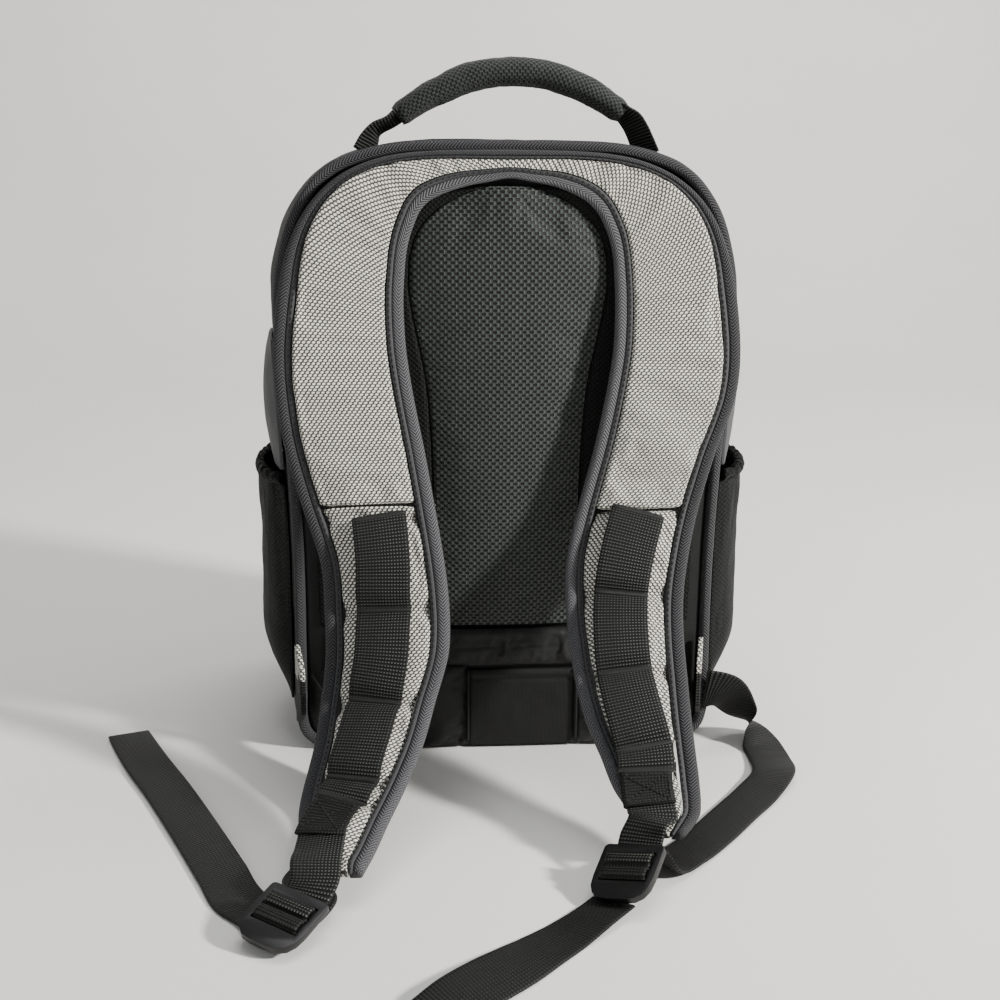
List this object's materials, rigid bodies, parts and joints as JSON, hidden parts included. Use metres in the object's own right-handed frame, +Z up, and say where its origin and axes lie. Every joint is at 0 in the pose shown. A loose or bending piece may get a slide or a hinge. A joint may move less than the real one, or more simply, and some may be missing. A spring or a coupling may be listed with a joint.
{
  "type": "camera backpack",
  "caption": "Upright padded camera backpack with a U-shaped padded harness, mesh back, ladder-lock straps, side pockets and a carry handle.",
  "frame": {"origin": "middle of the flat base, on the surface the bag stands on", "axes": "+Z up through the bag, -Y out of the mesh back towards the wearer, +X to the right in the picture, which is the wearer's right"},
  "size_m": [0.411, 0.4883, 0.4045],
  "materials": {
    "silver_cloth": "coarse two-tone woven silver-grey nylon, slight sheen",
    "grey_binding": "matt charcoal herringbone tape",
    "black_mesh": "matt black air mesh with round holes",
    "black_nylon": "black woven nylon, slightly glossy",
    "grey_nylon": "smooth dark grey nylon",
    "black_webbing": "ribbed black polypropylene webbing",
    "black_plastic": "satin moulded black acetal",
    "dark_metal": "dark coated metal"
  },
  "bodies": {
    "root": {"adjust_web_left": "black_webbing", "adjust_web_right": "black_webbing", "back_pad_centre": "black_mesh", "back_pad_left": "black_mesh", "back_pad_right": "black_mesh", "back_panel": "black_nylon", "belt_flap": "grey_nylon", "buckle_web_left": "black_webbing", "buckle_web_right": "black_webbing", "daisy_web_left": "black_webbing", "daisy_web_right": "black_webbing", "edge_piping": "grey_binding", "front_lid": "black_nylon", "handle_sleeve": "black_mesh", "handle_web_left": "black_webbing", "handle_web_right": "black_webbing", "inner_binding": "grey_binding", "ladder_lock_left": "black_plastic", "ladder_lock_right": "black_plastic", "lid_hinge": "black_nylon", "lumbar_band": "black_nylon", "lumbar_cushion_left": "black_nylon", "lumbar_cushion_right": "black_nylon", "outer_binding": "grey_binding", "pocket_hem_left": "black_mesh", "pocket_hem_right": "black_mesh", "shoulder_strap_left": "silver_cloth", "shoulder_strap_right": "silver_cloth", "shoulder_yoke": "silver_cloth", "side_flap_left": "grey_nylon", "side_flap_right": "grey_nylon", "side_gusset": "black_nylon", "side_pocket_left": "black_mesh", "side_pocket_right": "black_mesh", "stitch_patch_left": "black_webbing", "stitch_patch_right": "black_webbing", "tail_left": "black_webbing", "tail_right": "black_webbing", "wing_tab_left": "silver_cloth", "wing_tab_right": "silver_cloth", "zip_coil": "black_plastic", "zip_pull_left": "black_plastic", "zip_pull_right": "black_plastic", "zip_slider_left": "dark_metal", "zip_slider_right": "dark_metal", "zip_tape": "black_nylon"}
  },
  "joints": []
}
